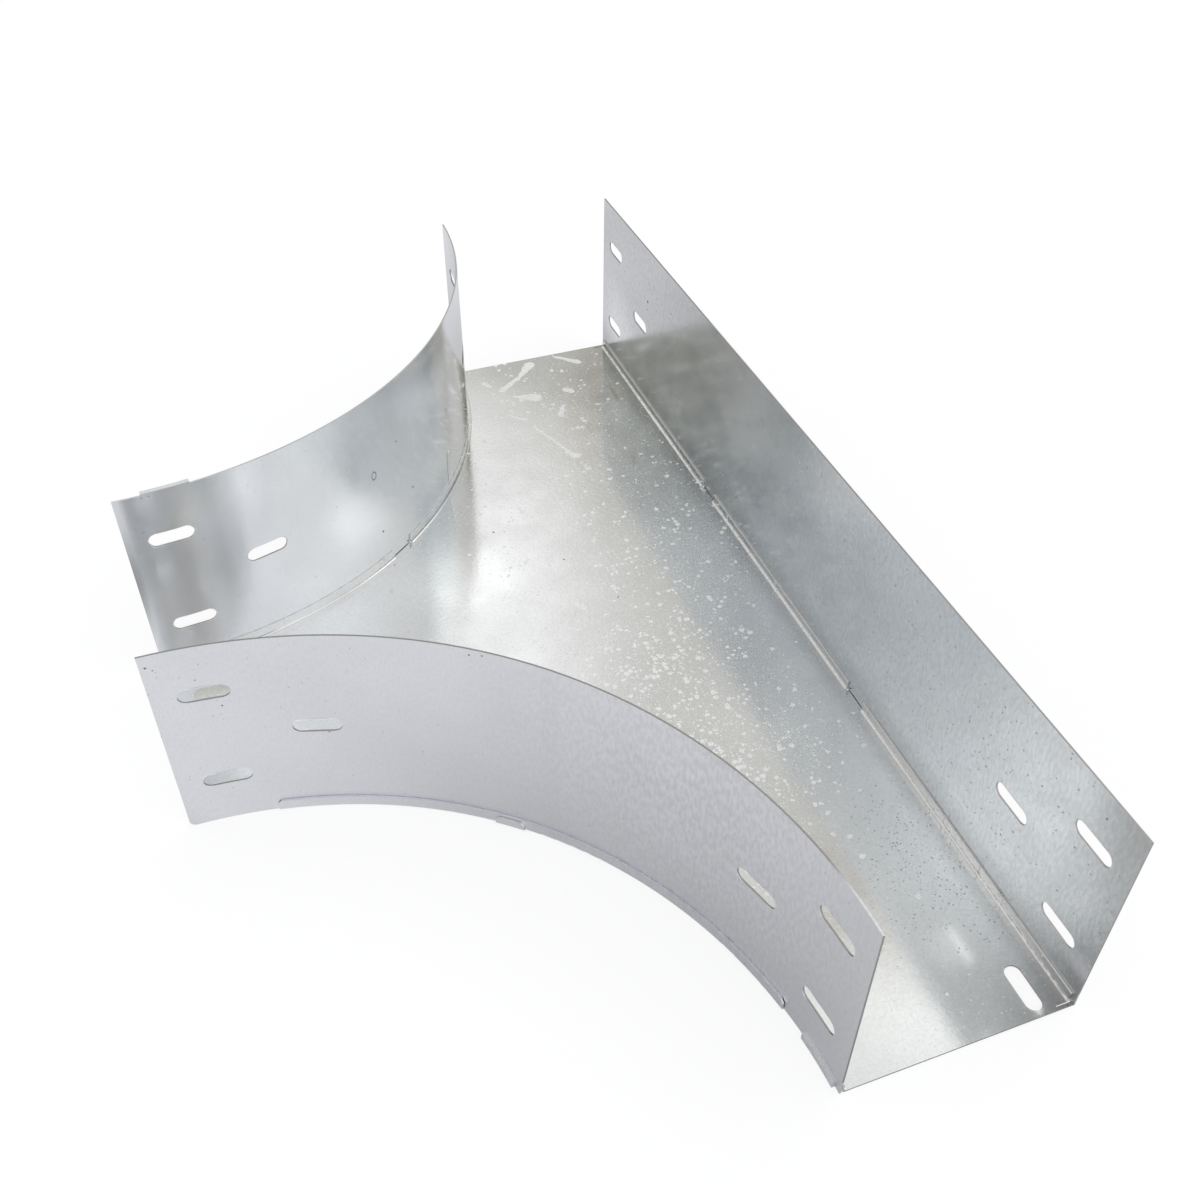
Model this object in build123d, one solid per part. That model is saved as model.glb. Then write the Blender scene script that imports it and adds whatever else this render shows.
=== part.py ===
from build123d import *
from math import cos, degrees, pi, sin
import os

# Cable tray tee: a T-shaped floor of folded sheet steel with one straight and two curved side walls.
# Millimetres. X runs along the straight tray, +Y points at the straight back wall, the branch opens at -Y.
# The origin is on the underside, where the centre line of the run crosses that of the branch.

# Plan of the tee, measured over the outer faces of the walls
run_width = 100.0
branch_width = 100.0
curve_radius = 200.0
side_height = 100.0

# Sheet and folds
sheet = 0.8
bend_radius = 1.0
nest_clearance = 0.1

# Flange of the floor that stands inside each wall
flange_height = 5.5
back_flange_inset = 2.0
relief_width = 0.6
relief_length = 6.5

# Hem along the foot of each wall, folded up on the outside
hem_height = 5.5
hem_gap = 0.3
hem_inset = 37.0
hem_corner_clip = 1.5
wall_corner_radius = 3.0

# Locking tabs of the floor, folded up outside the hems
tab_width = 13.0
tab_height = 4.5
tab_bend_radius = 0.4
tab_corner_clip = 1.5
tab_side_clearance = 0.6
back_tab_offset = 83.0
curve_tab_from_branch = 138.0

# Short crimped strips, one round a lower and one round an upper edge of a wall
lug_length = 21.0
lug_height = 4.0
lug_gap = 0.7
right_lug_from_run_end = 3.0
left_lug_from_branch_end = 12.0

# Slots for coupling bolts, two near each wall end and one further in at mid height
slot_length = 20.0
slot_width = 7.0
slot_from_end = 20.0
slot_rise = 50.0
middle_slot_from_end = 60.0

# The single slot in the floor, beside the back wall
floor_slot_from_end = 12.6
floor_slot_from_wall = 14.4

# Sizes that follow from the ones above
run_length = branch_width + 2 * curve_radius
branch_end = -(run_width / 2 + curve_radius)
curve_length = curve_radius * pi / 2
back_tabs = (run_length / 2 - back_tab_offset, run_length / 2 + back_tab_offset)
curve_tabs = (curve_tab_from_branch,)
flange_face = -(sheet + nest_clearance)
bend_line = flange_face - sheet - bend_radius
floor_lap = bend_radius
hem_face = hem_gap + sheet
tab_face = hem_face + nest_clearance + sheet
cut_margin = 5.0


class BackSide:
    """The straight wall line: s runs in +X from the left run end, u is outward from its outer face."""

    length = run_length

    def point(self, s, u, height):
        return Vector(s - run_length / 2, run_width / 2 + u, height)

    def sweep(self, section, start, end):
        plane = Plane(self.point(start, 0, 0), x_dir=(0, 1, 0), z_dir=(1, 0, 0))
        return extrude(plane * section, end - start)

    def face_plane(self, s, height):
        return Plane(self.point(s, 0, height), x_dir=(1, 0, 0), z_dir=(0, 1, 0))


class CurvedSide:
    """The right curved wall line: s runs along its outer face from the branch end to the run end."""

    length = curve_length
    centre = Vector(branch_width / 2 + curve_radius, branch_end, 0)

    def direction(self, s):
        angle = s / curve_radius
        return Vector(cos(angle), -sin(angle), 0)

    def point(self, s, u, height):
        return self.centre - self.direction(s) * (curve_radius - u) + Vector(0, 0, height)

    def sweep(self, section, start, end):
        outward = self.direction(start)
        plane = Plane(self.point(start, 0, 0), x_dir=outward, z_dir=outward.cross(Vector(0, 0, 1)))
        axis = Axis(self.centre, (0, 0, -1))
        return revolve(plane * section, axis, degrees((end - start) / curve_radius))

    def face_plane(self, s, height):
        outward = self.direction(s)
        return Plane(self.point(s, 0, height), x_dir=outward.cross(Vector(0, 0, 1)), z_dir=outward)


def folded_strip(face_path):
    """Section of a sheet that lies on the left of the given path."""
    return make_face(offset(face_path, sheet, side=Side.LEFT))


def upturned_section(face, height, radius):
    """Floor sheet that runs out past the bend line and turns up, with its outer face at the given u."""
    start = (bend_line - floor_lap, 0)
    path = FilletPolyline(start, (face, 0), (face, height), radius=radius + sheet)
    return folded_strip(path)


def plain_section():
    """Wall sheet that stands square on its lower edge."""
    return Pos(-sheet / 2, side_height / 2) * Rectangle(sheet, side_height)


def hemmed_section():
    """Wall sheet folded round its lower edge and up on the outside, pressed square inside the fold."""
    radius = sheet + hem_gap / 2
    fold = ThreePointArc((-sheet, radius), (hem_gap / 2, 0), (hem_face, radius))
    strip = Polyline(fold @ 1, (hem_face, hem_height), (hem_gap, hem_height), (hem_gap, sheet), (0, sheet))
    web = Polyline(strip @ 1, (0, side_height), (-sheet, side_height), fold @ 0)
    return make_face(fold + strip + web)


def lug_section():
    """Strip pressed square round the lower edge of a wall and up on both of its sides."""
    lug_face = lug_gap + sheet
    wall_side = Polyline((0, sheet), (0, lug_height), (-sheet, lug_height), (-sheet, 0), (lug_face, 0))
    strip_side = Polyline(wall_side @ 1, (lug_face, lug_height), (lug_gap, lug_height), (lug_gap, sheet))
    return make_face(wall_side + strip_side + Line(strip_side @ 1, wall_side @ 0))


def top_lug_section():
    """The same strip, turned over on to the upper edge."""
    return Pos(0, side_height + sheet) * mirror(lug_section(), about=Plane.XZ)


def wall_slots(side):
    """Cutters for the slots of one wall, the same at both of its ends."""
    cutters = []
    middle = side_height / 2
    places = ((slot_from_end, -slot_rise / 2), (slot_from_end, slot_rise / 2), (middle_slot_from_end, 0))
    for from_end, rise in places:
        cutters += [(from_end, middle + rise), (side.length - from_end, middle + rise)]
    slot = SlotOverall(slot_length, slot_width)
    return [extrude(side.face_plane(s, z) * slot, cut_margin, both=True) for s, z in cutters]


def tab_notch(side, s):
    """Cutter that lets a locking tab pass under the foot of a wall, clear of the inside of its bend."""
    width = tab_width + 2 * tab_side_clearance
    depth = sheet + tab_bend_radius
    section = Pos(0, depth / 2 - cut_margin / 2) * Rectangle(2 * cut_margin, depth + cut_margin)
    return side.sweep(section, s - width / 2, s + width / 2)


def side_wall(side, tabs, foot_lug=None):
    """One wall: plain near its ends, hemmed between them, with slots and notches."""
    hem_start = hem_inset
    hem_end = side.length - hem_inset
    wall = side.sweep(plain_section(), 0, hem_start)
    wall += side.sweep(hemmed_section(), hem_start, hem_end)
    plain_start = hem_end
    if foot_lug:
        wall += side.sweep(plain_section(), hem_end, foot_lug)
        wall += side.sweep(plain_section() + lug_section(), foot_lug, foot_lug + lug_length)
        plain_start = foot_lug + lug_length
    wall += side.sweep(plain_section(), plain_start, side.length)
    for s in (hem_start, hem_end):
        corner = side.point(s, hem_gap + sheet / 2, hem_height)
        wall = chamfer(wall.edges().sort_by_distance(corner)[0], hem_corner_clip)
    for cutter in wall_slots(side) + [tab_notch(side, s) for s in tabs]:
        wall -= cutter
    return wall


def round_branch_corner(wall, side):
    """Rounds the lower corner of a curved wall at the branch."""
    corner = side.point(0, -sheet / 2, 0)
    return fillet(wall.edges().sort_by_distance(corner)[0], wall_corner_radius)


def locking_tab(side, place):
    """One tab of the floor, turned up outside the wall, with its free corners clipped."""
    start, end = place - tab_width / 2, place + tab_width / 2
    tab = side.sweep(upturned_section(tab_face, tab_height, tab_bend_radius), start, end)
    for s in (start, end):
        corner = side.point(s, tab_face - sheet / 2, tab_height)
        tab = chamfer(tab.edges().sort_by_distance(corner)[0], tab_corner_clip)
    return tab


def seam(side, tabs, inset):
    """The floor's edge along one wall: upturned flange, locking tabs and flat ends."""
    flange = upturned_section(flange_face, flange_height, bend_radius)
    pieces = []
    start = inset
    for s in tabs:
        pieces.append(side.sweep(flange, start, s - tab_width / 2 - relief_width))
        pieces.append(locking_tab(side, s))
        start = s + tab_width / 2 + relief_width
    pieces.append(side.sweep(flange, start, side.length - inset))
    return pieces


def back_end_lips():
    """Flat ends of the floor at the back wall, cut free of the flange by a short slit."""
    side = BackSide()
    reach = flange_face - bend_line
    lip = Pos(bend_line + reach / 2, sheet / 2) * Rectangle(reach, sheet)
    slit = Pos(flange_face - relief_length / 2, 0) * Rectangle(relief_length, 2 * cut_margin)
    lip_width = back_flange_inset - relief_width
    lips = [side.sweep(lip, 0, lip_width), side.sweep(lip, side.length - lip_width, side.length)]
    slits = [side.sweep(slit, lip_width, back_flange_inset)]
    slits.append(side.sweep(slit, side.length - back_flange_inset, side.length - lip_width))
    return lips, slits


def floor_outline():
    """Flat part of the floor, up to the lines where its flanges bend up."""
    depth = run_width / 2 + bend_line - branch_end
    outline = Pos(0, branch_end + depth / 2) * Rectangle(run_length, depth)
    for x in (-run_length / 2, run_length / 2):
        outline -= Pos(x, branch_end) * Circle(curve_radius - bend_line)
    return outline


def base_plate():
    floor = extrude(floor_outline(), sheet)
    lips, slits = back_end_lips()
    curved_seam = seam(CurvedSide(), curve_tabs, 0)
    for piece in seam(BackSide(), back_tabs, back_flange_inset) + lips + curved_seam:
        floor += piece
    for piece in curved_seam:
        floor += mirror(piece, about=Plane.YZ)
    slot_place = Pos(run_length / 2 - floor_slot_from_end, run_width / 2 - floor_slot_from_wall)
    slots = [extrude(slot_place * SlotOverall(slot_length, slot_width), cut_margin, both=True)]
    for cutter in slots + slits:
        floor -= cutter
    return floor


def back_wall():
    return side_wall(BackSide(), back_tabs)


def right_curved_wall():
    side = CurvedSide()
    foot_lug = side.length - right_lug_from_run_end - lug_length
    wall = side_wall(side, curve_tabs, foot_lug)
    return round_branch_corner(wall, side)


def left_curved_wall():
    side = CurvedSide()
    wall = side_wall(side, curve_tabs)
    start = left_lug_from_branch_end
    wall += side.sweep(top_lug_section(), start, start + lug_length)
    return mirror(round_branch_corner(wall, side), about=Plane.YZ)


os.makedirs("parts", exist_ok=True)
export_step(base_plate(), "parts/base_plate.step")
export_step(back_wall(), "parts/back_wall.step")
export_step(right_curved_wall(), "parts/right_curved_wall.step")
export_step(left_curved_wall(), "parts/left_curved_wall.step")
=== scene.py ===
import bmesh
import bpy
import math
import random
from mathutils import Matrix, Vector


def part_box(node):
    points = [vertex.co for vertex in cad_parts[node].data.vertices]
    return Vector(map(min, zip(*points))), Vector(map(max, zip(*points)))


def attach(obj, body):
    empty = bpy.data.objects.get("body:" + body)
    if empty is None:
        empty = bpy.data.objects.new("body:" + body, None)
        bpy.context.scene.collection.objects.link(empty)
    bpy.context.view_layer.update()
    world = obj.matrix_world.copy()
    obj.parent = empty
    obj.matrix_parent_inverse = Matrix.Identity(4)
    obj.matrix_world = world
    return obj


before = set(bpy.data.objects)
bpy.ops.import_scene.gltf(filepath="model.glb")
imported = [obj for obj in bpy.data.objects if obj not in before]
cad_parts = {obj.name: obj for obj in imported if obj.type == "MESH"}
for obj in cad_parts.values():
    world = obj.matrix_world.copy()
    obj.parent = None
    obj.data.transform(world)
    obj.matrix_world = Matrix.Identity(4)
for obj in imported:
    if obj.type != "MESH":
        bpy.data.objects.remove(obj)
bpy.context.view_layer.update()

# Places read from the frame, in metres: +X along the run, the branch opens at -Y
base_low, base_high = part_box("base_plate")
back_low, back_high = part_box("back_wall")
right_low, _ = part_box("right_curved_wall")
MM = 0.001
SHEET = 0.8 * MM
RUN_END = base_high.x
BRANCH_END = base_low.y
WALL_HEIGHT = back_high.z
FLANGE_TOP = base_high.z
# The outer faces of the walls: a line for the back wall, a radius for the curved ones
WALL_LINE = back_low.y + SHEET
CURVE_RADIUS = RUN_END - right_low.x - SHEET
CURVE_LENGTH = CURVE_RADIUS * math.pi / 2

# How far fine relief reaches into the sheet that it lies on
SUNK = 0.02 * MM

# Slots of every wall: distance from the wall's end and height
SLOT_PLACES = ((20 * MM, 25 * MM), (20 * MM, 75 * MM), (60 * MM, 50 * MM))
SLOT_LENGTH = 20 * MM
SLOT_WIDTH = 7 * MM
SLOT_END_STEPS = 12
# The burr round a slot: how far each of its rings lies from the slot's edge and how high, and the least and
# greatest height in millimetres that are drawn for the crest
BURR_RINGS = ((0.0, -SUNK), (0.1 * MM, None), (0.32 * MM, -SUNK))
BURR_CREST = (0.04, 0.14)

# The zinc that closes the fold of a hem: distance from the wall's ends, and its section in millimetres
HEM_CLOSURE_START = 38.6 * MM
HEM_CLOSURE_SECTION = ((0.02, 2.0), (0.28, 2.0), (0.28, 5.35), (0.02, 5.35))
HEM_CLOSURE_COLUMNS = 160

# Pressed strips: their length, the gap in their fold and how far their face stands off the wall
LUG_LENGTH = 21 * MM
LUG_GAP = 0.7 * MM
LUG_FACE = 1.5 * MM
LUG_TOP = WALL_HEIGHT + SHEET
LUG_CLOSURE_COLUMNS = 12
# Where each strip starts along its wall, and the heights of its knurling and of the zinc that closes its fold
RIGHT_LUG = (CURVE_LENGTH - 24 * MM, (0.3 * MM, 3.8 * MM), (1.0 * MM, 3.85 * MM))
LEFT_LUG = (12 * MM, (LUG_TOP - 3.8 * MM, LUG_TOP - 0.3 * MM), (LUG_TOP - 3.8 * MM, LUG_TOP - 1.0 * MM))
# The knurling: distance between ridges, depth, the share of it that the valleys keep, and the mesh
KNURL_PITCH = 1.5 * MM
KNURL_DEPTH = 0.18 * MM
KNURL_LEAST = 0.25
KNURL_COLUMNS = 105
KNURL_ROWS = 18

# Camera, fitted to the corners of the object in the photograph; angles in degrees, lens and sensor in mm
CAMERA_PLACE = Vector((0.42191, -0.20890, 0.43583))
CAMERA_HEADING = 69.0
CAMERA_TILT = 47.55
CAMERA_ROLL = 0.563
CAMERA_LENS = 38.34
CAMERA_SENSOR = 36.0

# The room that the metal mirrors: its colour, how that changes towards +X and +Y, and its soft panels.
# A level of 1 shows a colour as it is written.
ROOM_COLOUR = (0.735, 0.745, 0.75)
ROOM_TOWARDS_X = (0.277, 0.288, 0.33)
ROOM_TOWARDS_Y = (0.175, 0.163, 0.153)
PANEL_EDGE = 5.0
PANELS = (
    # azimuth from +X, elevation, half width and half height in degrees, change of colour
    (166, 77, 6.3, 42.5, (0.56, 0.56, 0.6)),
    (114, 50.3, 11, 10, (1.0, 0.95, 0.9)),
    (243, 52, 11.6, 2.5, (-1.0, -1.0, -1.05)),
    (218, 38, 12, 6, (-0.83, -0.79, -0.67)),
    (232, 47, 6.6, 3.8, (0.98, 1.04, 1.09)),
    (153.7, 34, 6, 1.6, (-0.97, -1.02, -1.08)),
    (260, 38.4, 25, 3.8, (0.77, 0.77, 0.78)),
    (205, 19, 12, 19, (-0.73, -0.75, -0.77)),
    (305, 23.4, 15.7, 11, (0.98, 1.0, 0.98)),
    (282, 75.5, 52, 24.5, (-0.24, -0.26, -0.23)),
    (185, 51, 12.4, 6.2, (-0.75, -0.81, -0.87)),
    (140.3, 54.6, 5.7, 1.9, (-0.64, -0.72, -0.77)),
    (236, 72, 12, 16, (0.44, 0.44, 0.42)),
    (219, 28, 9.4, 14.4, (1.0, 1.0, 0.91)),
    (111, 36, 11.7, 8.7, (-0.45, -0.39, -0.34)),
    (195, 38.4, 14, 16.5, (0.58, 0.6, 0.61)),
    (235, 34, 2.1, 14, (0.34, 0.21, 0.1)),
    (126, 58, 26, 4, (0.44, 0.47, 0.48)),
    (123, 53.6, 12, 2.7, (0.49, 0.5, 0.49)),
    (231.6, 58, 11, 9.7, (0.12, 0.13, 0.14)),
    (127, 63, 7.5, 7, (-0.14, -0.14, -0.13)),
    (227, 44, 13, 8.7, (0.11, 0.12, 0.14)),
)
FILL_LEVEL = 0.6
FILL_ANGLE = 90.0

# The white table: its place, size and own shade, the glow that glossy rays see instead, the glow that the
# camera sees, and how much of the shade that covers
TABLE_LEVEL = -0.2 * MM
TABLE_SIZE = 12.0
TABLE_COLOUR = (0.88, 0.88, 0.88, 1.0)
TABLE_MIRRORED = (0.83, 0.84, 0.86)
CAMERA_GLOW = (1.06, 1.06, 1.06, 1.0)
CAMERA_SHARE = 0.74
# Painted shade in the table's mirrored glow, darker round the object in place of its shadow: centre and reach
# in millimetres, and depth
TABLE_SHADES = (
    ((62, -1), 274, 0.6),
    ((16, -282), 60, 0.98),
    ((-264, -56), 167, 0.34),
    ((242, -8), 148, 0.34),
    ((-413, -24), 97, 0.22),
)

# Plain zinc of each sheet: its tone, the strength of its clouds, the scale and strength of its grain, its
# least and greatest roughness, how its ripple is drawn out, and the ripple's waves as scale and depth.
# Scales are per millimetre, depths in millimetres.
FLOOR_ZINC = {
    "tone": (0.82, 0.825, 0.82), "clouds": 0.03, "grain": (0.8, 0.025), "roughness": (0.13, 0.17),
    "stretch": (1.0, 1.0, 1.0), "waves": ((0.03, 0.045), (0.5, 0.016), (1.4, 0.004)),
}
# The back wall's tone is darker than that of the other sheets of the same zinc: painted shade
BACK_ZINC = {
    "tone": (0.745, 0.755, 0.765), "clouds": 0.02, "grain": (0.75, 0.05), "roughness": (0.19, 0.22),
    "stretch": (1.0, 0.3, 1.0), "waves": ((0.6, 0.022), (1.4, 0.012)),
}
RIGHT_ZINC = {
    "tone": (0.82, 0.82, 0.845), "clouds": 0.02, "grain": (1.0, 0.02), "roughness": (0.29, 0.34),
    "stretch": (1.0, 0.35, 1.0), "waves": ((0.03, 0.04), (0.6, 0.025), (1.4, 0.012)),
}
LEFT_ZINC = {
    "tone": (0.81, 0.825, 0.84), "clouds": 0.02, "grain": (1.0, 0.012), "roughness": (0.13, 0.16),
    "stretch": (1.0, 0.5, 1.0), "waves": ((0.03, 0.05), (0.6, 0.004), (2.0, 0.001)),
}
CLOUD_SCALE = 0.02
ROUGHNESS_SCALE = 0.06
# The levels between which most of a noise lies
NOISE_BAND = (0.3, 0.7)

# Zinc that a press has roughened
PRESSED_TONE = (0.86, 0.86, 0.85)
PRESSED_ROUGHNESS = (0.28, 0.42)
PRESSED_WAVES = ((1.2, 0.04),)

# The painted shade of the upright flange, and what lies over the zinc: colours, the roughness that marks and
# cut edges add, how much metal a fleck hides, and how soft its edge is in millimetres
FLANGE_PAINTED_SHADE = (0.7, 0.67, 0.65, 1.0)
PALE_ZINC = (0.98, 0.98, 0.96, 1.0)
DARK_PIT = (0.16, 0.155, 0.15, 1.0)
CUT_STEEL = (0.42, 0.41, 0.41, 1.0)
MARK_ROUGHNESS = 0.35
EDGE_ROUGHNESS = 0.2
FLECK_MATTNESS = 0.75
FLECK_EDGE = 0.12

# Cut edges: the share of the normal through the sheet under which a face is one, the heights in millimetres
# that bound them on the floor and on the walls, and the margin under a rim
FLOOR_CUT = 0.3
WALL_CUT = 0.5
FLOOR_EDGE_TOP = 0.79
WALL_EDGE_FOOT = 8.0
RIM_MARGIN = 0.05

# Marks on the floor, in millimetres. Pale smears: both ends, and the widths there
FLOOR_SMEARS = (
    ((-221, -28), (-232, -13), 4.0, 2.2),
    ((-232, -13), (-243, -3), 2.2, 6.5),
    ((-213, -25), (-207, -11), 1.0, 8.0),
    ((-179, -22), (-143, -9), 1.6, 2.2),
    ((-147, -12), (-142, -8), 2.4, 5.0),
    ((-247, 15), (-236, 27), 1.8, 4.0),
    ((-209, 9), (-206, 12), 4.0, 4.0),
    ((-232, -36), (-228, -34), 4.0, 3.0),
    ((-193, 2), (-184, -3), 1.8, 3.6),
    ((-196, -34), (-186, -24), 1.5, 3.0),
    ((-160, -45), (-148, -38), 1.2, 2.4),
)
# Dark spots: centre and width
FLOOR_SPOTS = (
    (-92, -73, 1.0), (-58, -45, 0.9), (-21, -29, 0.8), (-84, -129, 0.7), (222, -38, 0.7), (238, -62, 0.8),
)
# Where flecks and pits gather, and where painted light and shade make the zinc's tone brighter or darker:
# centre, reach and share
FLOOR_FLECK_FIELDS = (
    ((-150, -10), 110, 0.25), ((-215, -5), 60, 0.3), ((-40, -5), 110, 0.4), ((40, -34), 80, 1.0),
    ((110, -30), 60, 0.7), ((95, 2), 50, 0.4), ((165, -44), 45, 0.5),
)
FLOOR_PIT_FIELDS = (((176, 36), 60, 0.55),)
FLOOR_PAINTED_LIGHT = (
    ((-155, 25), 70, 0.18), ((-40, 30), 90, 0.08), ((90, 30), 90, 0.06), ((190, 28), 55, 0.1),
    ((-205, -60), 50, 0.1), ((-62, -98), 40, 0.25), ((-240, -12), 40, -0.1), ((214, 18), 14, 0.2),
    ((248, 40), 28, -0.28), ((224, -20), 30, 0.1),
)
# Where fine pale threads lie: centre and reach
FLOOR_THREADS = ((92, 5), 26)
# The floor's flange beside the back wall: the distances from the wall's outer face at which it begins and is
# full, and the heights over which the zinc on its bend comes and goes, and over which it turns upright
FLANGE_FROM_WALL = (8, 5)
BEND_COMES = (0.82, 1.0)
BEND_GOES = (1.6, 2.4)
FLANGE_UPRIGHT = (1.4, 2.4)

# Marks on the back wall, in millimetres along it from the middle and up: as on the floor, with dark scratches
BACK_SPOTS = (
    (-179, 69, 1.6), (-180, 63.5, 0.8), (-146, 79, 0.9), (231, 90, 0.8), (228, 77, 0.9), (222, 27, 0.7),
)
BACK_SCRATCHES = (
    ((-153, 99), (-158, 58), 0.5, 0.3),
    ((-168, 39), (-170, 9), 0.6, 0.5),
    ((8, 98), (7, 38), 0.4, 0.3),
)
BACK_PIT_FIELDS = (((150, 60), 120, 0.35), ((-200, 60), 70, 0.3))
# Painted light and shade: fields where the wall's tone is brighter or darker, as centre, reach and share
BACK_PAINTED_LIGHT = (((-222, 30), 36, 0.22), ((-15, 85), 60, -0.14), ((235, 62), 35, 0.04), ((90, 90), 70, 0.05))
# Painted shade at the foot of the back wall: the share of the tone that it keeps, and the heights over which
# it fades
BACK_FOOT_SHADE = 0.77
BACK_FOOT_FADE = (6.0, 24.0)

# Marks on the curved walls, in millimetres from the branch end and up. Right: as on the back wall, and where
# the zinc is coarse like orange peel, how much that changes tone and height, and where the rim's dark fades
RIGHT_SPOTS = (
    (2.4, 94, 0.8), (4.5, 92, 0.6), (18.3, 83, 0.6), (25.4, 67, 0.7), (125, 97, 0.8), (130, 98, 0.7),
    (64, 46, 0.8),
)
RIGHT_PIT_FIELDS = (((20, 60), 80, 0.3), ((110, 60), 120, 0.12))
RIGHT_PEEL = ((230, 70), 130)
PEEL_TONE = 0.14
PEEL_HEIGHT = 0.06
RIGHT_RIM_FADE = (282.0, 302.0)
# Left: also a drop's ring as centre, radius and width, a dent as its ends and widths, its depth, and how much
# of a cut edge's dark the rim shows
LEFT_SPOTS = ((153, 31.6, 1.1), (143.6, 66.5, 0.8), (126, 21.3, 1.2), (198, 50.6, 0.9))
# Painted light and shade: fields where the wall's tone is brighter or darker, as centre, reach and share
LEFT_PAINTED_LIGHT = (((36, 88), 34, 0.25), ((95, 30), 55, 0.1), ((4, 75), 40, -0.12), ((36, 50), 25, -0.08))
LEFT_RING = ((124.6, 57.2), 1.5, 0.4)
LEFT_DENT = ((193, 9), (195, 24), 1.2, 2.2)
DENT_DEPTH = 0.7
LEFT_RIM = 0.2


class Nodes:
    """Builds a node tree with short calls."""

    def __init__(self, tree):
        self.tree = tree
        tree.nodes.clear()

    def add(self, kind, values=None, **settings):
        node = self.tree.nodes.new(kind)
        for name, value in settings.items():
            setattr(node, name, value)
        for name, value in (values or {}).items():
            self.feed(node.inputs[name], value)
        return node

    def feed(self, socket, value):
        if isinstance(value, bpy.types.NodeSocket):
            self.tree.links.new(value, socket)
        else:
            socket.default_value = value

    def math(self, operation, first, second=0.0, third=0.0, clamp=False):
        node = self.add("ShaderNodeMath", operation=operation, use_clamp=clamp)
        for socket, value in zip(node.inputs, (first, second, third)):
            self.feed(socket, value)
        return node.outputs[0]

    def chain(self, operation, values):
        """Joins several values by one operation."""
        result, *others = values
        for value in others:
            result = self.math(operation, result, value)
        return result

    def most(self, *values):
        return self.chain("MAXIMUM", values)

    def product(self, *values):
        return self.chain("MULTIPLY", values)

    def vector_math(self, operation, first, second, output="Vector"):
        node = self.add("ShaderNodeVectorMath", operation=operation)
        self.feed(node.inputs[0], first)
        self.feed(node.inputs[1], second)
        return node.outputs[output]

    def stretch(self, vector, factors):
        return self.vector_math("MULTIPLY", vector, factors)

    def distance(self, first, second):
        return self.vector_math("DISTANCE", first, second, output="Value")

    def times(self, vector, number):
        node = self.add("ShaderNodeVectorMath", {"Scale": number}, operation="SCALE")
        self.feed(node.inputs[0], vector)
        return node.outputs[0]

    def join(self, x, y, z):
        return self.add("ShaderNodeCombineXYZ", {"X": x, "Y": y, "Z": z}).outputs[0]

    def split(self, vector):
        return self.add("ShaderNodeSeparateXYZ", {"Vector": vector}).outputs

    def noise(self, vector, scale, detail, output="Fac"):
        values = {"Vector": vector, "Scale": scale, "Detail": detail}
        return self.add("ShaderNodeTexNoise", values).outputs[output]

    def spread(self, value, low, high, to_low=0.0, to_high=1.0):
        """Turns one range of a value softly into another."""
        values = {"Value": value, "From Min": low, "From Max": high, "To Min": to_low, "To Max": to_high}
        return self.add("ShaderNodeMapRange", values, interpolation_type="SMOOTHSTEP").outputs["Result"]

    def under(self, value, limit, soft):
        """1 where a value is under its limit and 0 over it, with a soft change between."""
        return self.spread(value, limit - soft, limit + soft, 1.0, 0.0)

    def patches(self, vector, scale, detail, low=0.0, high=1.0):
        """Soft patches between two levels."""
        return self.spread(self.noise(vector, scale, detail), *NOISE_BAND, low, high)

    def blend(self, kind, sockets, output, values):
        node = self.add("ShaderNodeMix", data_type=kind)
        for socket, value in zip(sockets, values):
            self.feed(node.inputs[socket], value)
        return node.outputs[output]

    def mix(self, share, first, second):
        return self.blend("RGBA", (0, 6, 7), 2, (share, first, second))

    def mix_number(self, share, first, second):
        return self.blend("FLOAT", (0, 2, 3), 0, (share, first, second))

    def mix_shader(self, share, first, second):
        node = self.add("ShaderNodeMixShader")
        for socket, value in zip(node.inputs, (share, first, second)):
            self.feed(socket, value)
        return node.outputs[0]

    def wobble(self, place, scale, amount):
        """The place pushed about by noise, for ragged outlines."""
        push = self.noise(place, scale, 2.0, output="Color")
        centred = self.vector_math("SUBTRACT", push, (0.5, 0.5, 0.5))
        return self.vector_math("ADD", place, self.stretch(centred, (amount, amount, 0.0)))

    def near(self, place, centre, reach):
        """1 at a point of the sheet, falling to 0 at the given reach from it."""
        return self.spread(self.distance(place, (*centre, 0.0)), 0.0, reach, 1.0, 0.0)

    def streak(self, place, start, end, start_width, end_width, soft=0.25):
        """1 along a straight mark that may widen, and 0 beside it."""
        run = Vector((end[0] - start[0], end[1] - start[1], 0.0))
        away = self.vector_math("SUBTRACT", place, (*start, 0.0))
        share = self.vector_math("DOT_PRODUCT", away, run / run.length_squared, output="Value")
        share = self.math("ADD", share, 0.0, clamp=True)
        distance = self.distance(away, self.times(run, share))
        half = self.math("MULTIPLY_ADD", share, (end_width - start_width) / 2, start_width / 2)
        return self.under(self.math("SUBTRACT", distance, half), 0.0, soft)

    def spots(self, place, spots, soft=0.25):
        """1 on each of a few round spots, given as centre and width."""
        masks = [self.under(self.distance(place, (x, y, 0.0)), width / 2, soft) for x, y, width in spots]
        return self.most(*masks)

    def ring(self, place, centre, radius, width):
        """The faint mark that a dried drop leaves, a little longer than it is wide."""
        away = self.vector_math("SUBTRACT", place, (*centre, 0.0))
        distance = self.distance(self.stretch(away, (1.0, 0.7, 0.0)), (0.0, 0.0, 0.0))
        off = self.math("ABSOLUTE", self.math("SUBTRACT", distance, radius))
        return self.spread(off, width / 2, width, 0.6, 0.0)

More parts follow.
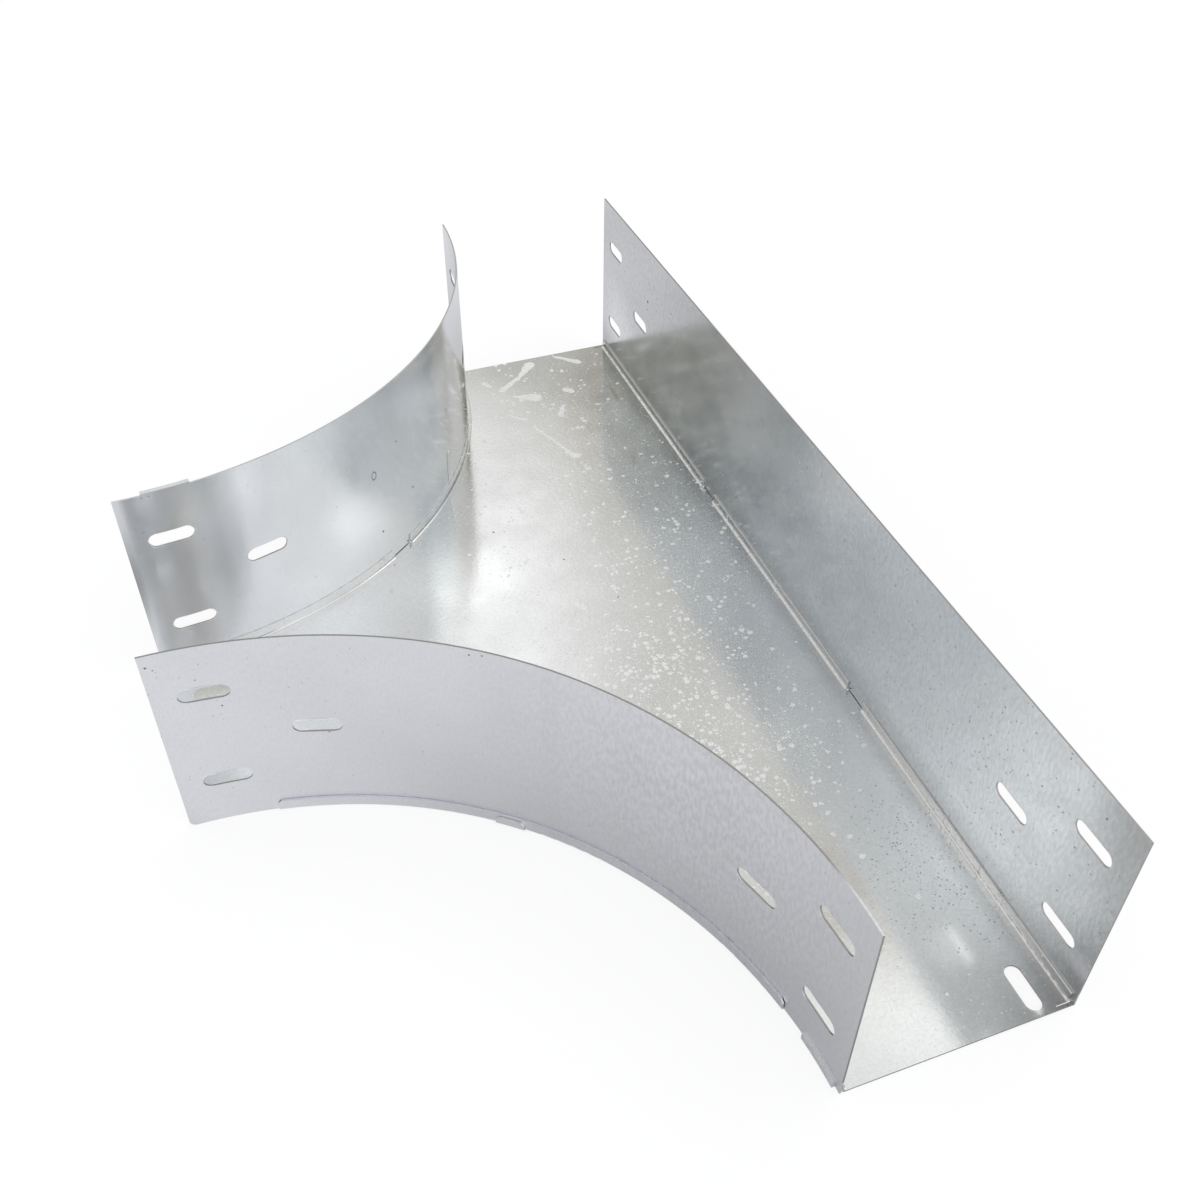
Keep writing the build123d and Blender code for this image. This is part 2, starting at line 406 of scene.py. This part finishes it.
    def flecks(self, place, cell, share, small, large):
        """1 on flecks strewn at random, at most one in a cell of the given size, between two radii."""
        values = {"Vector": place, "Scale": 1.0 / cell}
        cells = self.add("ShaderNodeTexVoronoi", values, voronoi_dimensions="2D")
        chance, size, _ = self.add("ShaderNodeSeparateColor", {"Color": cells.outputs["Color"]}).outputs
        size = self.math("POWER", size, 2.0)
        radius = self.math("MULTIPLY_ADD", size, (large - small) / cell, small / cell)
        edge = self.math("SUBTRACT", cells.outputs["Distance"], radius)
        return self.product(self.under(edge, 0.0, FLECK_EDGE / cell), self.math("LESS_THAN", chance, share))

    def fields(self, place, fields, least=0.0):
        """A plain share with soft fields added to it."""
        share = least
        for centre, reach, level in fields:
            share = self.math("MULTIPLY_ADD", self.near(place, centre, reach), level, share)
        return share


def new_material(name):
    material = bpy.data.materials.new(name)
    material.use_nodes = True
    return material, Nodes(material.node_tree)


def cloudy(n, place, tone, scale, strength):
    """The tone with soft clouds in it."""
    dark = (*(c * (1 - strength) for c in tone), 1.0)
    light = (*(min(1.0, c * (1 + strength)) for c in tone), 1.0)
    return n.mix(n.patches(place, scale, detail=3.0), dark, light)


def grained(n, tone, drawn, scale, strength):
    """The tone broken up by the fine light and dark grain of hammered zinc."""
    return n.times(tone, n.patches(drawn, scale, 1.0, 1.0 - strength, 1.0 + strength))


def ripple(n, place, stretch, waves):
    """Height of the zinc's ripple in millimetres."""
    drawn = n.stretch(place, stretch)
    height = 0.0
    for scale, depth in waves:
        height = n.math("MULTIPLY_ADD", n.noise(drawn, scale, 1.0), depth, height)
    return height


def plain_zinc(n, place, drawn, tone, clouds, grain, roughness, stretch, waves):
    """Tone, roughness and height of a sheet without its marks; drawn is the place that its grain follows."""
    tone = grained(n, cloudy(n, place, tone, CLOUD_SCALE, clouds), drawn, *grain)
    roughness = n.patches(place, ROUGHNESS_SCALE, 1.0, *roughness)
    return tone, roughness, ripple(n, place, stretch, waves)


def marked(n, tone, roughness, edge, pits, pale=None):
    """Lays pale flecks, dark pits and cut edges over the zinc; gives tone, roughness and share of metal."""
    clear = n.math("SUBTRACT", 1.0, edge)
    pits = n.product(pits, clear)
    marks, metal = pits, 1.0
    if pale is not None:
        pale = n.product(pale, clear)
        marks = n.most(pale, pits)
        metal = n.math("MULTIPLY_ADD", pale, -FLECK_MATTNESS, 1.0)
        tone = n.mix(pale, tone, PALE_ZINC)
    tone = n.mix(edge, n.mix(pits, tone, DARK_PIT), CUT_STEEL)
    roughness = n.math("MULTIPLY_ADD", marks, MARK_ROUGHNESS, roughness)
    roughness = n.math("MULTIPLY_ADD", edge, EDGE_ROUGHNESS, roughness)
    return tone, roughness, metal


def finish(material, n, height, tone, roughness, metal=1.0):
    """Makes the metal's shader, with its height in millimetres."""
    bump = n.add("ShaderNodeBump", {"Height": height, "Strength": 1.0, "Distance": MM})
    shader = n.add("ShaderNodeBsdfPrincipled", {
        "Base Color": tone, "Metallic": metal, "Roughness": roughness, "Normal": bump.outputs["Normal"],
    })
    n.add("ShaderNodeOutputMaterial", {"Surface": shader.outputs["BSDF"]})
    return material


def sheet_place(n, axes, through):
    """Place along a sheet, across it and in its depth, in millimetres, the same without depth, and the share
    of the normal through the sheet."""
    place = n.times(n.join(*axes), 1 / MM)
    return place, n.stretch(place, (1.0, 1.0, 0.0)), n.math("ABSOLUTE", through)


def object_axes(n):
    """The object's place and its true normal, each as its three axes."""
    place = n.split(n.add("ShaderNodeTexCoord").outputs["Object"])
    return place, n.split(n.add("ShaderNodeNewGeometry").outputs["True Normal"])


def flat_place(n, order):
    """sheet_place for a flat sheet: the object's axes in the given order."""
    place, normal = object_axes(n)
    return sheet_place(n, [place[axis] for axis in order], normal[order[2]])


def curve_place(n, hand):
    """sheet_place for a curved wall: distance along it from the branch end, height and depth."""
    (x, y, z), normal = object_axes(n)
    across = n.math("MULTIPLY_ADD", x, -hand, RUN_END)
    ahead = n.math("SUBTRACT", y, BRANCH_END)
    radius = n.math("SQRT", n.math("ADD", n.math("POWER", across, 2.0), n.math("POWER", ahead, 2.0)))
    along = n.product(n.math("ARCTAN2", ahead, across), CURVE_RADIUS)
    side = n.product(normal[0], across, -hand)
    through = n.math("DIVIDE", n.math("MULTIPLY_ADD", normal[1], ahead, side), radius)
    return sheet_place(n, (along, z, n.math("SUBTRACT", CURVE_RADIUS, radius)), through)


def wall_edge(n, place, through, rim=1.0):
    """1 on the cut edges of a wall: its ends, the insides of its slots, and its rim, which may differ."""
    height = n.split(place)[1]
    at_rim = n.math("GREATER_THAN", height, WALL_HEIGHT / MM - RIM_MARGIN)
    return n.product(
        n.math("LESS_THAN", through, WALL_CUT),
        n.math("GREATER_THAN", height, WALL_EDGE_FOOT),
        n.mix_number(at_rim, 1.0, rim),
    )


def floor_flecks(n, place, flat):
    """Pale flecks in clumps, with finer ones among them."""
    ragged = n.wobble(flat, scale=0.5, amount=1.6)
    share = n.fields(flat, FLOOR_FLECK_FIELDS, least=0.02)
    clumps = n.spread(n.noise(place, scale=0.09, detail=1.0), 0.42, 0.62, to_low=0.15)
    coarse = n.flecks(ragged, cell=2.8, share=n.product(share, clumps), small=0.4, large=1.5)
    fine = n.flecks(ragged, cell=1.4, share=n.math("ADD", share, 0.05), small=0.15, large=0.45)
    return n.most(n.product(coarse, 0.95), n.product(fine, 0.5))


def floor_smears(n, flat):
    bent = n.wobble(flat, scale=0.35, amount=2.0)
    return n.most(*(n.streak(bent, *smear, soft=0.5) for smear in FLOOR_SMEARS))


def floor_threads(n, place, flat):
    """Fine pale threads, where a noise crosses its middle level, broken up by another."""
    off = n.math("ABSOLUTE", n.math("SUBTRACT", n.noise(place, scale=0.22, detail=0.0), 0.5))
    threads = n.product(n.spread(off, 0.004, 0.012, 1.0, 0.0), n.near(flat, *FLOOR_THREADS))
    return n.product(threads, n.spread(n.noise(place, scale=0.15, detail=0.0), 0.5, 0.56))


def floor_pits(n, flat):
    ragged = n.wobble(flat, scale=0.8, amount=0.6)
    pits = n.flecks(ragged, cell=1.4, share=n.fields(flat, FLOOR_PIT_FIELDS), small=0.1, large=0.36)
    return n.most(n.product(pits, 0.6), n.spots(flat, FLOOR_SPOTS))


def flange_marks(n, place):
    """Pale zinc on the rim of the floor's flange and, flaked, on its bend beside the back wall, and 1 where
    the flange stands up there."""
    _, across, depth = n.split(place)
    beside_back = n.spread(across, *(WALL_LINE / MM - away for away in FLANGE_FROM_WALL))
    rim = n.math("GREATER_THAN", depth, FLANGE_TOP / MM - RIM_MARGIN)
    rim = n.product(rim, n.math("MULTIPLY_ADD", beside_back, 0.5, 0.3))
    flaked = n.spread(n.noise(n.stretch(place, (0.4, 1.0, 1.0)), scale=0.9, detail=3.0), 0.42, 0.56)
    bend = n.product(n.spread(depth, *BEND_COMES), n.spread(depth, *BEND_GOES, 1.0, 0.0))
    bend = n.product(bend, beside_back, n.math("MULTIPLY_ADD", flaked, 0.6, 0.3))
    return n.most(rim, bend), n.product(n.spread(depth, *FLANGE_UPRIGHT), beside_back)


def floor_material():
    material, n = new_material("galvanised_floor")
    place, flat, through = flat_place(n, (0, 1, 2))
    low = n.math("LESS_THAN", n.split(place)[2], FLOOR_EDGE_TOP)
    edge = n.product(n.math("LESS_THAN", through, FLOOR_CUT), low)
    flange_zinc, upright = flange_marks(n, place)
    threads = floor_threads(n, place, flat)
    pale = n.most(floor_flecks(n, place, flat), floor_smears(n, flat), threads, flange_zinc)
    tone, roughness, height = plain_zinc(n, place, place, **FLOOR_ZINC)
    # Painted light and shade in fields over the tone, and a painted shade where the flange stands up
    tone = n.mix(upright, n.times(tone, n.fields(flat, FLOOR_PAINTED_LIGHT, least=1.0)), FLANGE_PAINTED_SHADE)
    return finish(material, n, height, *marked(n, tone, roughness, edge, floor_pits(n, flat), pale))


def back_material():
    material, n = new_material("galvanised_back")
    place, flat, through = flat_place(n, (0, 2, 1))
    ragged = n.wobble(flat, scale=0.6, amount=1.2)
    share = n.fields(flat, BACK_PIT_FIELDS, least=0.05)
    pits = n.flecks(ragged, cell=2.6, share=share, small=0.12, large=0.45)
    scratches = n.most(*(n.streak(flat, *scratch) for scratch in BACK_SCRATCHES))
    pits = n.most(n.product(pits, 0.5), n.spots(ragged, BACK_SPOTS), n.product(scratches, 0.25))
    pale = n.product(n.flecks(ragged, cell=3.0, share=0.06, small=0.12, large=0.4), 0.5)
    tone, roughness, height = plain_zinc(n, place, n.stretch(place, (1.0, 0.35, 1.0)), **BACK_ZINC)
    # Painted shade: the tone grows darker towards the foot of the wall
    painted_foot_shade = n.spread(n.split(place)[1], *BACK_FOOT_FADE, BACK_FOOT_SHADE, 1.0)
    # Painted light and shade from the fields over the tone
    tone = n.times(tone, n.product(painted_foot_shade, n.fields(flat, BACK_PAINTED_LIGHT, least=1.0)))
    edge = wall_edge(n, place, through)
    return finish(material, n, height, *marked(n, tone, roughness, edge, pits, pale))


def right_material():
    material, n = new_material("galvanised_right")
    place, flat, through = curve_place(n, 1)
    ragged = n.wobble(flat, scale=0.6, amount=1.2)
    share = n.fields(flat, RIGHT_PIT_FIELDS, least=0.03)
    pits = n.flecks(ragged, cell=2.6, share=share, small=0.08, large=0.36)
    strength = n.spread(n.noise(place, scale=0.5, detail=0.0), 0.35, 0.65, 0.1, 0.4)
    pits = n.most(n.product(pits, strength), n.spots(ragged, RIGHT_SPOTS))
    drawn = n.stretch(place, (1.0, 0.4, 1.0))
    tone, roughness, height = plain_zinc(n, place, drawn, **RIGHT_ZINC)
    peel = n.math("SUBTRACT", n.patches(drawn, scale=0.6, detail=1.0), 0.5)
    peel = n.product(peel, n.near(flat, *RIGHT_PEEL))
    tone = n.times(tone, n.math("MULTIPLY_ADD", peel, PEEL_TONE, 1.0))
    height = n.math("MULTIPLY_ADD", peel, PEEL_HEIGHT, height)
    edge = wall_edge(n, place, through, n.spread(n.split(place)[0], *RIGHT_RIM_FADE, 1.0, 0.0))
    return finish(material, n, height, *marked(n, tone, roughness, edge, pits))


def left_material():
    material, n = new_material("galvanised_left")
    place, flat, through = curve_place(n, -1)
    ragged = n.wobble(flat, scale=0.6, amount=1.2)
    pits = n.product(n.flecks(ragged, cell=3.0, share=0.06, small=0.12, large=0.35), 0.4)
    pits = n.most(pits, n.spots(ragged, LEFT_SPOTS), n.ring(flat, *LEFT_RING))
    tone, roughness, height = plain_zinc(n, place, place, **LEFT_ZINC)
    # Painted light and shade from the fields over the tone
    tone = n.times(tone, n.fields(flat, LEFT_PAINTED_LIGHT, least=1.0))
    height = n.math("MULTIPLY_ADD", n.streak(flat, *LEFT_DENT, soft=1.0), -DENT_DEPTH, height)
    edge = wall_edge(n, place, through, LEFT_RIM)
    return finish(material, n, height, *marked(n, tone, roughness, edge, pits))


def pressed_material():
    """Zinc that the press has roughened, on knurled strips and on the burrs round slots."""
    material, n = new_material("pressed_zinc")
    place, _, _ = flat_place(n, (0, 1, 2))
    tone = cloudy(n, place, PRESSED_TONE, scale=0.4, strength=0.1)
    roughness = n.patches(place, 0.8, 2.0, *PRESSED_ROUGHNESS)
    return finish(material, n, ripple(n, place, (1.0, 1.0, 1.0), PRESSED_WAVES), tone, roughness)


def table_material():
    """White paper, lifted to white for the camera with the object's shadow kept; metal mirrors a glow with
    painted shade.
    """
    material, n = new_material("white_table")
    place = n.times(n.add("ShaderNodeTexCoord").outputs["Object"], 1 / MM)
    shade = n.fields(place, TABLE_SHADES)
    mirrored = n.times(TABLE_MIRRORED, n.math("SUBTRACT", 1.0, shade, clamp=True))
    path = n.add("ShaderNodeLightPath").outputs
    glow = n.mix(path["Is Glossy Ray"], CAMERA_GLOW, mirrored)
    light = n.add("ShaderNodeEmission", {"Color": glow, "Strength": 1.0})
    paper = n.add("ShaderNodeBsdfDiffuse", {"Color": TABLE_COLOUR})
    share = n.math("MULTIPLY_ADD", path["Is Camera Ray"], CAMERA_SHARE, path["Is Glossy Ray"])
    n.add("ShaderNodeOutputMaterial", {"Surface": n.mix_shader(share, paper.outputs[0], light.outputs[0])})
    return material


def add_table():
    bpy.ops.mesh.primitive_plane_add(size=TABLE_SIZE, location=(0.0, 0.0, TABLE_LEVEL))
    table = bpy.context.object
    table.name = "table"
    table.data.materials.append(table_material())


def panel_mask(n, swing, elevation, panel):
    """1 inside one soft panel of the room and 0 outside it; swing is the azimuth measured from -X."""
    centre, height, half_width, half_height, _ = panel
    shares = []
    for value, middle, half in ((swing, centre - 180.0, half_width), (elevation, height, half_height)):
        off = n.math("ABSOLUTE", n.math("SUBTRACT", value, middle))
        shares.append(n.under(off, half, PANEL_EDGE))
    return n.product(*shares)


def set_world():
    """A pale studio: white to the camera, and a room of soft panels to everything else."""
    world = bpy.data.worlds.new("studio")
    world.use_nodes = True
    # Rays find so soft a room by themselves; sampled as a lamp, it would only take longer
    world.cycles.sampling_method = "NONE"
    bpy.context.scene.world = world
    n = Nodes(world.node_tree)
    x, y, z = n.split(n.add("ShaderNodeTexCoord").outputs["Generated"])
    swing = n.math("DEGREES", n.math("ARCTAN2", n.product(y, -1.0), n.product(x, -1.0)))
    elevation = n.math("DEGREES", n.math("ARCSINE", z))
    colour = n.vector_math("ADD", n.times(ROOM_TOWARDS_X, x), ROOM_COLOUR)
    colour = n.vector_math("ADD", n.times(ROOM_TOWARDS_Y, y), colour)
    for panel in PANELS:
        change = n.times(panel[-1], panel_mask(n, swing, elevation, panel))
        colour = n.vector_math("ADD", change, colour)
    colour = n.vector_math("MAXIMUM", colour, (0.0, 0.0, 0.0))
    path = n.add("ShaderNodeLightPath").outputs
    seen = n.most(path["Is Camera Ray"], path["Is Transmission Ray"])
    room = n.add("ShaderNodeBackground", {"Color": colour, "Strength": 1.0})
    white = n.add("ShaderNodeBackground", {"Color": (1.0, 1.0, 1.0, 1.0), "Strength": 1.0})
    n.add("ShaderNodeOutputWorld", {"Surface": n.mix_shader(seen, room.outputs[0], white.outputs[0])})


def add_fill():
    """A wide soft lamp from above for the matt marks and the table; the metal mirrors only the room."""
    data = bpy.data.lights.new("fill", "SUN")
    data.energy = FILL_LEVEL
    data.angle = math.radians(FILL_ANGLE)
    fill = bpy.data.objects.new("fill", data)
    fill.visible_glossy = False
    bpy.context.scene.collection.objects.link(fill)


def add_camera():
    data = bpy.data.cameras.new("camera")
    data.lens = CAMERA_LENS
    data.sensor_width = CAMERA_SENSOR
    camera = bpy.data.objects.new("camera", data)
    bpy.context.scene.collection.objects.link(camera)
    turn = Matrix.Rotation(math.radians(CAMERA_HEADING), 4, "Z")
    tilt = Matrix.Rotation(math.radians(CAMERA_TILT), 4, "X")
    roll = Matrix.Rotation(math.radians(CAMERA_ROLL), 4, "Z")
    camera.matrix_world = Matrix.Translation(CAMERA_PLACE) @ turn @ tilt @ roll
    bpy.context.scene.camera = camera


def straight_point(s, u, z):
    """A point of the back wall: s from its left end, u outward from its outer face."""
    return Vector((s - RUN_END, WALL_LINE + u, z))


def curved_point(hand):
    """Gives the same for a curved wall, whose s runs from the branch end."""
    def point(s, u, z):
        angle = s / CURVE_RADIUS
        reach = CURVE_RADIUS - u
        return Vector((hand * (RUN_END - reach * math.cos(angle)), BRANCH_END + reach * math.sin(angle), z))
    return point


def add_piece(name, points, faces, material):
    """One mesh that belongs to the object, its faces turned outward."""
    mesh = bpy.data.meshes.new(name)
    mesh.from_pydata(points, [], faces)
    shape = bmesh.new()
    shape.from_mesh(mesh)
    bmesh.ops.recalc_face_normals(shape, faces=shape.faces)
    shape.to_mesh(mesh)
    shape.free()
    mesh.materials.append(material)
    piece = bpy.data.objects.new(name, mesh)
    bpy.context.scene.collection.objects.link(piece)
    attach(piece, "root")


def add_bar(name, point, start, end, columns, section, material):
    """A thin closed bar along a wall, its four-sided section given as depth and height."""
    points = []
    for i in range(columns + 1):
        s = start + (end - start) * i / columns
        points += [point(s, u, z) for u, z in section]
    faces = [(0, 1, 2, 3), tuple(4 * columns + k for k in (3, 2, 1, 0))]
    for i in range(columns):
        for k in range(4):
            a, b = 4 * i + k, 4 * i + (k + 1) % 4
            faces.append((a, a + 4, b + 4, b))
    add_piece(name, points, faces, material)


def slot_outline(grow):
    """Points round a slot, its outline grown outward."""
    radius = SLOT_WIDTH / 2
    reach = (SLOT_LENGTH - SLOT_WIDTH) / 2
    outline = []
    for side in (1, -1):
        for k in range(SLOT_END_STEPS + 1):
            angle = math.pi * k / SLOT_END_STEPS - math.pi / 2
            across, up = (radius + grow) * math.cos(angle), (radius + grow) * math.sin(angle)
            outline.append((side * (reach + across), side * up))
    return outline


def band(lower, upper):
    """Faces between two closed rings of as many points."""
    pairs = list(zip(lower, upper))
    return [(a, c, d, b) for (a, b), (c, d) in zip(pairs, pairs[1:] + pairs[:1])]


def slot_burrs(name, point, length, material, rng):
    """The fine raised rims that the punch leaves round a wall's slots, on both of its faces."""
    points = []
    faces = []
    for from_end, height in SLOT_PLACES:
        for middle in (from_end, length - from_end):
            for face, outward in ((0.0, 1), (-SHEET, -1)):
                rings = []
                for grow, rise in BURR_RINGS:
                    first = len(points)
                    for a, b in slot_outline(grow):
                        lift = rng.uniform(*BURR_CREST) * MM if rise is None else rise
                        points.append(point(middle + a, face + outward * lift, height + b))
                    rings.append(range(first, len(points)))
                for lower, upper in zip(rings, rings[1:] + rings[:1]):
                    faces += band(lower, upper)
    add_piece(name, points, faces, material)


def hem_closure(name, point, length, material):
    """The zinc that closes the fold between a wall and its hem, just below the hem's upper edge."""
    section = [(u * MM, z * MM) for u, z in HEM_CLOSURE_SECTION]
    end = length - HEM_CLOSURE_START
    add_bar(name, point, HEM_CLOSURE_START, end, HEM_CLOSURE_COLUMNS, section, material)


def strip_closure(name, point, start, low, high, material):
    """The zinc in the fold of a pressed strip."""
    section = ((0.0, low), (LUG_GAP, low), (LUG_GAP, high), (0.0, high))
    add_bar(name, point, start, start + LUG_LENGTH, LUG_CLOSURE_COLUMNS, section, material)


def knurl_height(along, up):
    """Crossed ridges, as a share of their height."""
    first = abs(math.sin(math.pi * (along + up) / KNURL_PITCH))
    second = abs(math.sin(math.pi * (along - up) / KNURL_PITCH))
    return first * second


def knurled_strip(name, point, start, low, high, material):
    """A thin slab of crossed ridges that lies on the face of a pressed strip."""
    columns, rows = KNURL_COLUMNS, KNURL_ROWS
    points = []
    for ridged in (True, False):
        for j in range(rows + 1):
            for i in range(columns + 1):
                s = start + LUG_LENGTH * i / columns
                z = low + (high - low) * j / rows
                rise = -SUNK
                if ridged:
                    rise = KNURL_DEPTH * (KNURL_LEAST + (1 - KNURL_LEAST) * knurl_height(s, z))
                points.append(point(s, LUG_FACE + rise, z))
    width = columns + 1
    back = width * (rows + 1)
    faces = []
    for j in range(rows):
        for i in range(columns):
            a = j * width + i
            faces.append((a, a + 1, a + width + 1, a + width))
            faces.append((back + a + width, back + a + width + 1, back + a + 1, back + a))
    rim = list(range(columns)) + [j * width + columns for j in range(rows)]
    rim += [rows * width + i for i in range(columns, 0, -1)] + [j * width for j in range(rows, 0, -1)]
    for a, b in zip(rim, rim[1:] + rim[:1]):
        faces.append((b, a, back + a, back + b))
    add_piece(name, points, faces, material)


def dress(node, material):
    """Gives a CAD node its own metal in place of the plain one."""
    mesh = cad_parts[node].data
    mesh.materials.clear()
    mesh.materials.append(material)


add_camera()
set_world()
add_fill()
add_table()

floor_metal = floor_material()
back_metal = back_material()
right_metal = right_material()
left_metal = left_material()
pressed_metal = pressed_material()
dress("base_plate", floor_metal)
dress("back_wall", back_metal)
dress("right_curved_wall", right_metal)
dress("left_curved_wall", left_metal)

walls = (
    ("back", straight_point, 2 * RUN_END, back_metal),
    ("right", curved_point(1), CURVE_LENGTH, right_metal),
    ("left", curved_point(-1), CURVE_LENGTH, left_metal),
)
rng = random.Random(7)
for side, point, length, _ in walls:
    slot_burrs(f"{side}_slot_burrs", point, length, pressed_metal, rng)
for side, point, length, metal in walls:
    hem_closure(f"{side}_hem_closure", point, length, metal)
lugs = [(*wall, *lug) for wall, lug in zip(walls[1:], (RIGHT_LUG, LEFT_LUG))]
for side, point, _, _, start, knurled, _ in lugs:
    knurled_strip(f"{side}_lug_knurl", point, start, *knurled, pressed_metal)
for side, point, _, metal, start, _, closed in lugs:
    strip_closure(f"{side}_lug_closure", point, start, *closed, metal)

bpy.context.scene.view_settings.view_transform = "Standard"
